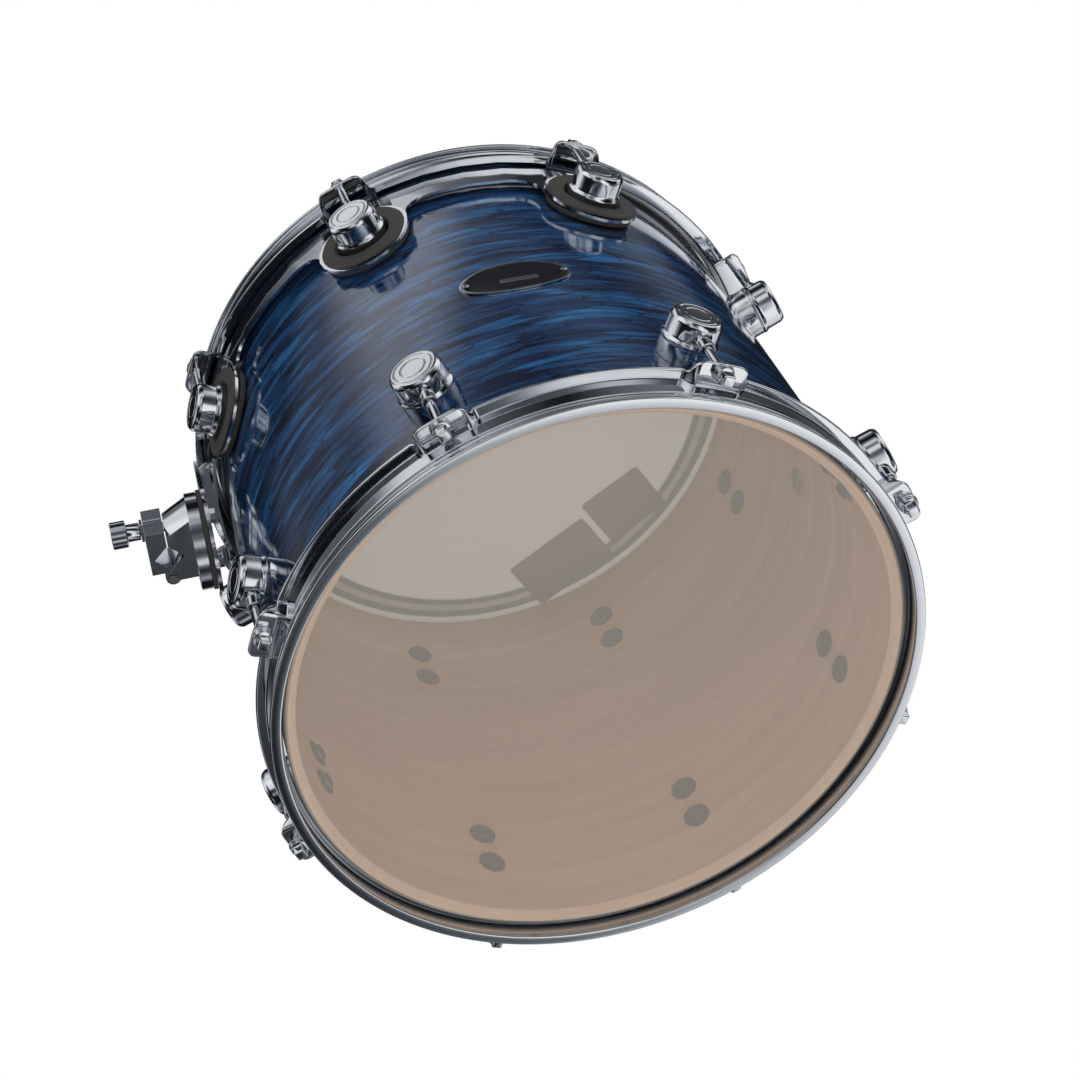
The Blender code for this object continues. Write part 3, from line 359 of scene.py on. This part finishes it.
CHROME = chrome_plate()
WRAP = pearl_wrap()
CLEAR = clear_film("single_ply_polyester_film", "#d8d0c4", 0.16)
MUFFLED = muffled_film()
MAPLE = maple_ply()
ALUMINIUM = plain_metal("mill_finish_aluminium", "#a9abae", 0.35)
ZINC = plain_metal("zinc_plated_steel", "#8e8f92", 0.32)
RUBBER = moulded_rubber()
ENAMEL = badge_enamel()
SCREW_STEEL = plain_metal("dulled_steel", "#6a6a6d", 0.45)
# The two dark squares seen against the batter head: a dark, mostly opaque sheet
DARK_FILM = clear_film("dark_square_sheet", "#6d675e", 0.75)
SATIN = plain_metal("satin_nickel", "#b9bbbd", 0.3)


def rounded(points, radius, steps=4, closed=True):
    """A profile with each corner cut back by up to radius and bent round it along a quadratic curve."""
    points = np.array(points, float)
    result = []
    for number, corner in enumerate(points):
        if not closed and number in (0, len(points) - 1):
            result.append(corner)
            continue
        before = points[number - 1] - corner
        after = points[(number + 1) % len(points)] - corner
        reach_before = min(radius, 0.45 * np.linalg.norm(before))
        reach_after = min(radius, 0.45 * np.linalg.norm(after))
        first = corner + before / np.linalg.norm(before) * reach_before
        last = corner + after / np.linalg.norm(after) * reach_after
        for t in np.linspace(0, 1, steps + 1):
            result.append((1 - t) ** 2 * first + 2 * t * (1 - t) * corner + t ** 2 * last)
    return np.array(result)


def full_turn(steps):
    """Angles once round, as a column."""
    return np.linspace(0, TAU, steps, endpoint=False)[:, None]


def blunt_square(angle, power):
    """How far a square with rounded corners reaches at each angle: (cos^p + sin^p)^(-1/p)."""
    return (np.abs(np.cos(angle)) ** power + np.abs(np.sin(angle)) ** power) ** (-1 / power)


def around_axis(radius, angle, height):
    """Points at a radius, angle and height about the drum's axis."""
    return np.stack([radius * np.cos(angle), radius * np.sin(angle), height], axis=-1)


def turned(profile, steps=96):
    """Rows of (height, radius) carried round X: x = height, y = radius cos a, z = radius sin a."""
    profile = np.array(profile, float)
    angle = full_turn(steps)
    height = np.broadcast_to(profile[:, 0], (steps, len(profile)))
    return np.stack([height, profile[:, 1] * np.cos(angle), profile[:, 1] * np.sin(angle)], axis=-1)


def round_drum(profile, steps=512):
    """Rows of (radius, height) carried round Z: x = radius cos a, y = radius sin a, z = height."""
    profile = np.array(profile, float)
    height = np.broadcast_to(profile[:, 1], (steps, len(profile)))
    return around_axis(profile[:, 0], full_turn(steps), height)


def placed(grid, matrix):
    """A grid of points moved by a 4 by 4 matrix."""
    matrix = np.array(matrix)
    return grid @ matrix[:3, :3].T + matrix[:3, 3]


def quads_of(grid, closed, base):
    """Faces of a grid that is closed along its first way, and along its second if closed."""
    rows, columns = grid.shape[:2]
    index = np.arange(rows * columns).reshape(rows, columns) + base
    following = np.roll(index, -1, axis=0)
    if closed:
        side = np.roll(index, -1, axis=1)
        side_following = np.roll(following, -1, axis=1)
        quads = np.stack([index, following, side_following, side], axis=-1)
    else:
        quads = np.stack([index[:, :-1], following[:, :-1], following[:, 1:], index[:, 1:]], axis=-1)
    return quads.reshape(-1, 4)


def shade_smooth(mesh, sharp):
    """Smooth shading, broken at edges sharper than an angle in degrees."""
    mesh.polygons.foreach_set("use_smooth", np.ones(len(mesh.polygons), bool))
    mesh.set_sharp_from_angle(angle=math.radians(sharp))


def linked(name, mesh):
    """A new object in the scene, at the origin."""
    piece = bpy.data.objects.new(name, mesh)
    bpy.context.scene.collection.objects.link(piece)
    return piece


def build(name, grids, material, body, replaced, sharp=40):
    """One piece from grids closed along their first way, each (points, closed along the second)."""
    corners = []
    faces = []
    base = 0
    for grid, closed in grids:
        corners.append(grid.reshape(-1, 3) * MM)
        faces.append(quads_of(grid, closed, base))
        base += len(corners[-1])
    mesh = bpy.data.meshes.new(name)
    mesh.from_pydata(np.concatenate(corners).tolist(), [], np.concatenate(faces).tolist())
    bm = bmesh.new()
    bm.from_mesh(mesh)
    bmesh.ops.remove_doubles(bm, verts=bm.verts, dist=MERGE_SURFACE)
    bmesh.ops.recalc_face_normals(bm, faces=bm.faces)
    bm.to_mesh(mesh)
    bm.free()
    shade_smooth(mesh, sharp)
    mesh.materials.append(material)
    piece = linked(name, mesh)
    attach(piece, body)
    if replaced:
        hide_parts(*replaced)
    return piece


def side_frame(side):
    """Takes depths below a head to the drum; the batter side is turned half round about X."""
    if side == "resonant":
        return Matrix.Identity(4)
    return Matrix.Translation((0, 0, HEAD_TO_HEAD)) @ Matrix.Rotation(math.pi, 4, "X")


def sector_frame(side, number):
    """A side's frame turned to one lug; numbers run the same way round the drum on both sides."""
    way = 1 if side == "resonant" else -1
    return side_frame(side) @ Matrix.Rotation(math.radians(way * number * LUG_ANGLE), 4, "Z")


def lug_frame(side, number):
    """Local x outwards from the wrap, local z towards the shell's middle, at one lug."""
    return sector_frame(side, number) @ Matrix.Translation((WRAP_OUTER, 0, LUG_DEPTH))


def rod_frame(side, number):
    """Local x along the rod towards the shell's middle, from the film's outer face."""
    at_rod = Matrix.Translation((ROD_CIRCLE, 0, 0)) @ Matrix.Rotation(-math.pi / 2, 4, "Y")
    return sector_frame(side, number) @ at_rod


def make_shell():
    """A wooden tube whose edges slope up to the film, under a thin wrap."""
    low = EDGE_DEPTH
    high = HEAD_TO_HEAD - EDGE_DEPTH
    inner_crest, outer_crest = EDGE_CREST
    tube = rounded([
        (SHELL_INNER, low + EDGE_SLOPE), (inner_crest, low),
        (outer_crest, low), (SHELL_OUTER, low + EDGE_ROUND),
        (SHELL_OUTER, high - EDGE_ROUND), (outer_crest, high),
        (inner_crest, high), (SHELL_INNER, high - EDGE_SLOPE),
    ], 0.5)
    build("wooden_tube", [(round_drum(tube), True)], MAPLE, "shell", ["shell"])
    wrap_low, wrap_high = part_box("shell_wrap")
    low = wrap_low.z / MM
    high = wrap_high.z / MM
    sheet = rounded([(WRAP_INNER, low), (WRAP_OUTER, low), (WRAP_OUTER, high), (WRAP_INNER, high)], 0.2)
    piece = build("pearl_sheet", [(round_drum(sheet), True)], WRAP, "shell", ["shell_wrap"])
    add_sheet_map(piece)


def add_sheet_map(piece):
    """A UV map in metres: u is the arc round the shell from the seam, and v is the height."""
    mesh = piece.data
    place = np.empty(len(mesh.vertices) * 3)
    mesh.vertices.foreach_get("co", place)
    place = place.reshape(-1, 3)
    corner = np.empty(len(mesh.loops), int)
    mesh.loops.foreach_get("vertex_index", corner)
    centres = np.empty(len(mesh.polygons) * 3)
    mesh.polygons.foreach_get("center", centres)
    centres = centres.reshape(-1, 3)
    seam = math.radians(WRAP_SEAM_ANGLE)
    angle = (np.arctan2(place[:, 1], place[:, 0]) - seam) % TAU
    middle = (np.arctan2(centres[:, 1], centres[:, 0]) - seam) % TAU
    corners_each = np.empty(len(mesh.polygons), int)
    mesh.polygons.foreach_get("loop_total", corners_each)
    middle_of_corner = np.repeat(middle, corners_each)
    at_corner = angle[corner]
    at_corner = at_corner + TAU * np.round((middle_of_corner - at_corner) / TAU)
    uv = np.stack([at_corner * WRAP_OUTER * MM, place[corner, 2]], axis=-1)
    layer = mesh.uv_layers.new(name="sheet")
    layer.data.foreach_set("uv", uv.ravel())


def make_film(side):
    """A thin film stretched flat over the edge, rounded down into its channel."""
    film = rounded([
        (0, 0), (FILM_REACH - 1.8, 0), (FILM_REACH, 1.8), (FILM_REACH, FILM_HEM),
        (FILM_REACH - FILM_SHEET, FILM_HEM), (FILM_REACH - FILM_SHEET, 2.0),
        (FILM_REACH - 2.0, FILM_SHEET), (0, FILM_SHEET),
    ], 1.2, closed=False)
    inner, outer = CHANNEL_REACH
    near, far = CHANNEL_DEPTH
    channel = rounded([(inner, near), (outer, near), (outer, far), (inner, far)], 0.6)
    here = side_frame(side)
    film = placed(round_drum(film, 256), here)
    channel = placed(round_drum(channel, 256), here)
    material = CLEAR if side == "resonant" else MUFFLED
    build(side + "_skin", [(film, False)], material, "shell", [side + "_film"])
    build(side + "_channel", [(channel, True)], ALUMINIUM, "shell", [side + "_flesh_hoop"])


def hoop_section(flange_depth, flange_reach):
    """The hoop's section as (radius, depth): lip, rim wall, ledge, lower wall and flange."""
    wall_inner, wall_outer = RIM_WALL
    lower_inner, lower_outer = LOWER_WALL
    under_flange = flange_depth + HOOP_SHEET
    return rounded([
        (LIP_REACH, LIP_DEPTH), (LIP_REACH, LIP_DEPTH + HOOP_SHEET),
        (wall_outer, LIP_DEPTH + HOOP_SHEET), (wall_outer, LEDGE_DEPTH),
        (lower_outer, LEDGE_DEPTH), (lower_outer, flange_depth),
        (flange_reach, flange_depth), (flange_reach, under_flange),
        (lower_inner, under_flange), (lower_inner, LEDGE_DEPTH + HOOP_SHEET),
        (wall_inner, LEDGE_DEPTH + HOOP_SHEET), (wall_inner, LIP_DEPTH),
    ], 0.9)


def make_hoop(side):
    """A pressed hoop: its section carried round the drum and blended to the ear's near each rod.

    With s the distance along the rim from a rod, the flange rises by the smooth step 3t^2 - 2t^3 of
    t = (foot - s) / slope, and reaches out by the quarter circle of (root - s) / (root - tip).
    """
    sector = math.radians(LUG_ANGLE)
    ear_edge = EAR_ARC / EAR_ARC_RADIUS
    near = np.linspace(-ear_edge, ear_edge, 57)
    far = np.linspace(ear_edge, sector - ear_edge, 16)[1:-1]
    offsets = np.concatenate([near, far])
    angle = (np.arange(LUGS)[:, None] * sector + offsets).ravel()
    from_rod = np.abs(np.where(offsets > sector / 2, sector - offsets, offsets))
    along = np.tile(from_rod, LUGS) * EAR_MEASURE_RADIUS
    rise = np.clip((EAR_HALF_FOOT - along) / EAR_SLOPE, 0, 1)
    rise = rise * rise * (3 - 2 * rise)
    reach = np.clip((EAR_HALF_ROOT - along) / (EAR_HALF_ROOT - EAR_HALF_TIP), 0, 1)
    reach = np.sqrt(1 - (1 - reach) ** 2)
    plain = hoop_section(FLANGE_DEPTH, FLANGE_REACH)
    ear = hoop_section(EAR_DEPTH, EAR_REACH)
    radius = plain[:, 0] + (ear[:, 0] - plain[:, 0]) * reach[:, None]
    depth = plain[:, 1] + (ear[:, 1] - plain[:, 1]) * rise[:, None]
    grid = placed(around_axis(radius, angle[:, None], depth), side_frame(side))
    name = side + "_hoop"
    build(side + "_rim", [(grid, True)], CHROME, name, [name], 50)


def make_lug(side, number):
    """A turned lug: a beaded drum with two rings cut in its cap, and its swivel nut."""
    cap = LUG_CAP_HEIGHT
    body = rounded([
        (-0.9, 0), (-0.9, LUG_BASE), (9.6, LUG_BASE), (11.0, 16.4), (12.4, 15.6), (13.4, 15.1),
        (22.6, 14.9), (cap, 13.4), (cap, 11.4), (cap - 0.4, 11.1), (cap, 10.8), (cap, 7.5),
        (cap - 0.4, 7.2), (cap, 6.9), (cap, 0),
    ], 0.9, 3, closed=False)
    nut = rounded([
        (0, 0), (0, NUT_RADIUS), (NUT_REACH, NUT_RADIUS), (NUT_REACH, 2.9), (22.0, 2.9), (22.0, 0),
    ], 0.5, 3, closed=False)
    here = lug_frame(side, number)
    at_nut = here @ Matrix.Translation((NUT_HEIGHT, 0, 0)) @ Matrix.Rotation(math.pi / 2, 4, "Y")
    grids = [(placed(turned(body), here), False), (placed(turned(nut, 32), at_nut), False)]
    label = str(number + 1)
    build(side + "_round_lug_" + label, grids, CHROME, "shell", [side + "_lug_" + label])


def make_screws():
    """Every lug's two screws with their washers, on the inside of the shell."""
    screw = turned(rounded([
        (0, 0), (0, 8.3), (1.3, 8.3), (1.3, 5.0), (3.6, 4.6), (4.4, 2.6), (4.4, 0),
    ], 0.5, 3, closed=False), 40)
    inwards = Matrix.Rotation(math.pi, 4, "Z")
    grids = []
    for side in SIDES:
        for number in range(LUGS):
            for offset in (-SCREW_SPACING / 2, SCREW_SPACING / 2):
                seat = Matrix.Translation((SHELL_INNER - WRAP_OUTER, 0, offset)) @ inwards
                grids.append((placed(screw, lug_frame(side, number) @ seat), False))
    build("inside_screws", grids, SCREW_STEEL, "shell", [])


def make_patch():
    """Two plain dark squares laid against the batter head: flat sheets with rounded corners."""
    angle = full_turn(96)
    share = np.array([0.0, 1.0, 1.0, 0.0]) * blunt_square(angle, PATCH_POWER)
    height = HEAD_TO_HEAD - PATCH_DEPTH + np.array([0.0, 0.0, -PATCH_SHEET, -PATCH_SHEET])
    tilt = Matrix.Rotation(math.radians(PATCH_TILT), 4, "Z")
    grids = []
    for centre, half in PATCHES:
        along = half[0] * share * np.cos(angle)
        across = half[1] * share * np.sin(angle)
        flat = np.stack([along, across, height + 0 * along], axis=-1)
        grids.append((placed(flat, Matrix.Translation((*centre, 0)) @ tilt), False))
    build("dark_patches", grids, DARK_FILM, "shell", [])


def make_rod(side, number):
    """A tension rod: a round shaft, washer and collar, and a key end blended to a blunt square."""
    profile = rounded([
        (ROD_END, 0), (ROD_END, 2.4), (51.4, ROD_RADIUS), (9.6, ROD_RADIUS), (9.6, 5.8), (8.5, 5.8),
        (8.5, 5.4), (7.2, 5.4), (7.2, 5.2), (5.6, 5.2), (5.4, KEY_RADIUS), (0.6, KEY_RADIUS),
        (-0.2, 3.1), (-0.2, 0),
    ], 0.35, 3, closed=False)
    angle = full_turn(48)
    square = blunt_square(angle, KEY_POWER) * KEY_HALF_SIDE / KEY_RADIUS
    radius = profile[:, 1] * np.where(profile[:, 0] < KEY_TOP, square, 1.0)
    height = np.broadcast_to(profile[:, 0], radius.shape)
    grid = np.stack([height, radius * np.cos(angle), radius * np.sin(angle)], axis=-1)
    grid = placed(grid, rod_frame(side, number))
    name = side + "_rod_" + str(number + 1)
    build(side + "_tension_rod_" + str(number + 1), [(grid, False)], CHROME, name, [name])


def make_grommet(number):
    """A soft ring bent to the shell: its height above the wrap is measured from the drum's axis."""
    flat = turned(rounded([
        (0.6, 17.0), (0.6, 27.0), (4.3, 28.0), (4.3, 22.0), (6.7, 22.0), (6.7, 27.6), (7.4, 28.3),
        (9.0, 27.2), (9.0, 18.3), (6.0, 16.6),
    ], 1.0), 120)
    radius = WRAP_OUTER + flat[..., 0]
    angle = math.radians(number * LUG_ANGLE) + np.arcsin(flat[..., 1] / radius)
    grid = around_axis(radius, angle, HEAD_TO_HEAD - LUG_DEPTH + flat[..., 2])
    label = str(number + 1)
    build("soft_ring_" + label, [(grid, True)], RUBBER, "shell", ["grommet_" + label])


def oval(profile, angle, turn, half, middle, share):
    """Rows of (share of the half sides, height) carried round an oval and bent to the shell."""
    radius = BADGE_BACK + profile[:, 1] + 0 * angle
    around = math.radians(turn) + half[0] * profile[:, 0] * share * np.cos(angle) / radius
    height = middle + half[1] * profile[:, 0] * share * np.sin(angle)
    return around_axis(radius, around, height)


def make_badge():
    """An enamelled oval with a bright rim, and a bare plate where a number would be."""
    angle = full_turn(160)
    middle = HEAD_TO_HEAD / 2
    half = (BADGE_HALF_WIDTH, BADGE_HALF_HEIGHT)
    edge = BADGE_FACE_SHARE
    face = np.array([(0.0, 0.55), (edge, 0.55), (edge, 0.0), (0.0, 0.0)])
    rim = rounded([(edge, 0.0), (edge, 0.8), (1.0, 0.8), (1.0, 0.0)], 0.03)
    plate = rounded([(0.0, 0.5), (0.0, 0.75), (0.9, 0.75), (1.0, 0.7), (1.0, 0.5)], 0.05, closed=False)
    face = oval(face, angle, BADGE_ANGLE, half, middle, 1.0)
    rim = oval(rim, angle, BADGE_ANGLE, half, middle, 1.0)
    plate = oval(
        plate, angle, BADGE_ANGLE + BARE_PLATE_TURN, BARE_PLATE_HALF, middle - BARE_PLATE_DROP,
        blunt_square(angle, BARE_PLATE_POWER),
    )
    build("badge_face", [(face, False)], ENAMEL, "shell", ["badge_plate"])
    build("badge_rim", [(rim, True)], CHROME, "shell", [])
    build("badge_bare_plate", [(plate, False)], SATIN, "shell", [])


def softened(name, material, edge):
    """The solid's own shape merged and shaded smooth, with its edges bevelled by edge millimetres."""
    mesh = nodes[name].data.copy()
    bm = bmesh.new()
    bm.from_mesh(mesh)
    bmesh.ops.remove_doubles(bm, verts=bm.verts, dist=MERGE_SOLID)
    bmesh.ops.dissolve_limit(
        bm, angle_limit=math.radians(0.5), verts=bm.verts, edges=bm.edges, use_dissolve_boundaries=False,
    )
    bm.to_mesh(mesh)
    bm.free()
    shade_smooth(mesh, SHARP_ANGLE)
    mesh.materials.clear()
    mesh.materials.append(material)
    piece = linked(name + "_finished", mesh)
    if edge:
        bevel = piece.modifiers.new("edge", "BEVEL")
        bevel.width = edge * MM
        bevel.segments = 2
        bevel.limit_method = "ANGLE"
        bevel.angle_limit = math.radians(SHARP_ANGLE)
        bevel.harden_normals = True
    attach(piece, nodes[name]["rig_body"])
    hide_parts(name)


def make_metalwork():
    """The band, the bracket and the small fittings, whose solids already have the right shape."""
    for name, material, slot, edge in (
        ("badge_rivet_left", CHROME, "chrome", 0), ("badge_rivet_right", CHROME, "chrome", 0),
        ("vent_grommet", CHROME, "chrome", 0.2), ("suspension_band", CHROME, "chrome", 0.2),
        ("bracket_gasket", RUBBER, "rubber", 0.4), ("bracket_boss", CHROME, "chrome", 0.4),
        ("clamp_jaw", CHROME, "chrome", 0.6), ("jaw_pin", ZINC, "zinc", 0.2),
        ("clamp_washer", ZINC, "zinc", 0.2), ("clamp_bolt", CHROME, "chrome", 0.4),
    ):
        softened(name, material, edge)


def make_floor():
    """A plain pale floor that only a camera above it sees, so light reaches the drum from below."""
    half = FLOOR_HALF
    level = cad_box[0][2] - FLOOR_GAP
    corners = [(-half, -half, level), (half, -half, level), (half, half, level), (-half, half, level)]
    mesh = bpy.data.meshes.new("studio_floor")
    mesh.from_pydata(corners, [], [(0, 1, 2, 3)])
    material, tree, shader = finish("matt_white_paper", "#f4f4f4", 0.9)
    rays = add(tree, "ShaderNodeLightPath")
    sides = add(tree, "ShaderNodeNewGeometry")
    front = add(
        tree, "ShaderNodeMath", {"operation": "SUBTRACT", 0: 1.0}, {1: sides.outputs["Backfacing"]},
    )
    seen = add(
        tree, "ShaderNodeMath", {"operation": "MULTIPLY"},
        {0: rays.outputs["Is Camera Ray"], 1: front.outputs[0]},
    )
    clear = add(tree, "ShaderNodeBsdfTransparent")
    mix = add(
        tree, "ShaderNodeMixShader",
        links={0: seen.outputs[0], 1: clear.outputs[0], 2: shader.outputs[0]},
    )
    tree.links.new(mix.outputs[0], tree.nodes["Material Output"].inputs[0])
    mesh.materials.append(material)
    linked("studio_floor", mesh)


def make_world():
    """A white studio: the camera sees white, mirrors see soft boxes, and matt surfaces a softer level."""
    world = bpy.data.worlds.new("studio")
    world.use_nodes = True
    tree = world.node_tree
    rays = add(tree, "ShaderNodeLightPath")
    seen = rays.outputs["Is Camera Ray"]
    for kind in ("Is Glossy Ray", "Is Transmission Ray"):
        seen = add(
            tree, "ShaderNodeMath", {"operation": "MAXIMUM"}, {0: seen, 1: rays.outputs[kind]},
        ).outputs[0]
    # Mirrors see soft boxes with dark gaps between them
    way = add(tree, "ShaderNodeTexCoord").outputs["Generated"]
    boxes = add(tree, "ShaderNodeTexNoise", {"Scale": 1.3, "Detail": 1.0}, {"Vector": way})
    gaps = ramp(tree, boxes.outputs[0], (
        (0.40, "#15171b"), (0.50, "#6a6e74"), (0.58, "#d8dadd"), (0.68, "#ffffff"),
    ))
    mirrored = add(
        tree, "ShaderNodeMix", {"data_type": "RGBA", 6: (1, 1, 1, 1)},
        {0: rays.outputs["Is Glossy Ray"], 7: gaps},
    )
    level = add(tree, "ShaderNodeMapRange", {"To Min": 0.62, "To Max": 1.0}, {"Value": seen})
    background = tree.nodes["Background"]
    tree.links.new(mirrored.outputs[2], background.inputs["Color"])
    tree.links.new(level.outputs[0], background.inputs["Strength"])
    bpy.context.scene.world = world


def make_lamps():
    """Soft square lamps aimed at the drum's middle, which mirrors don't show."""
    for name, place, size, power in LAMPS:
        lamp = bpy.data.lights.new(name, "AREA")
        lamp.size = size
        lamp.energy = power
        rig = linked(name, lamp)
        rig.location = place
        rig.visible_glossy = False
        rig.rotation_euler = (CAMERA_AIM - rig.location).to_track_quat("-Z", "Y").to_euler()


def make_camera():
    """The photograph's view: from the resonant side, turned about the line of sight."""
    data = bpy.data.cameras.new("camera")
    data.lens = CAMERA_LENS
    data.sensor_width = CAMERA_SENSOR
    camera = linked("camera", data)
    camera.location = CAMERA_PLACE
    upright = (CAMERA_AIM - CAMERA_PLACE).to_track_quat("-Z", "Y").to_matrix()
    rolled = upright @ Matrix.Rotation(math.radians(CAMERA_ROLL), 3, "Z")
    camera.rotation_euler = rolled.to_euler()
    bpy.context.scene.camera = camera


make_shell()
make_badge()
make_screws()
make_patch()
for side in SIDES:
    make_film(side)
    make_hoop(side)
    for number in range(LUGS):
        make_lug(side, number)
        make_rod(side, number)
for number in CARRIED_LUGS:
    make_grommet(number)
make_metalwork()
make_floor()
make_world()
make_lamps()
make_camera()
bpy.context.scene.view_settings.view_transform = "Standard"
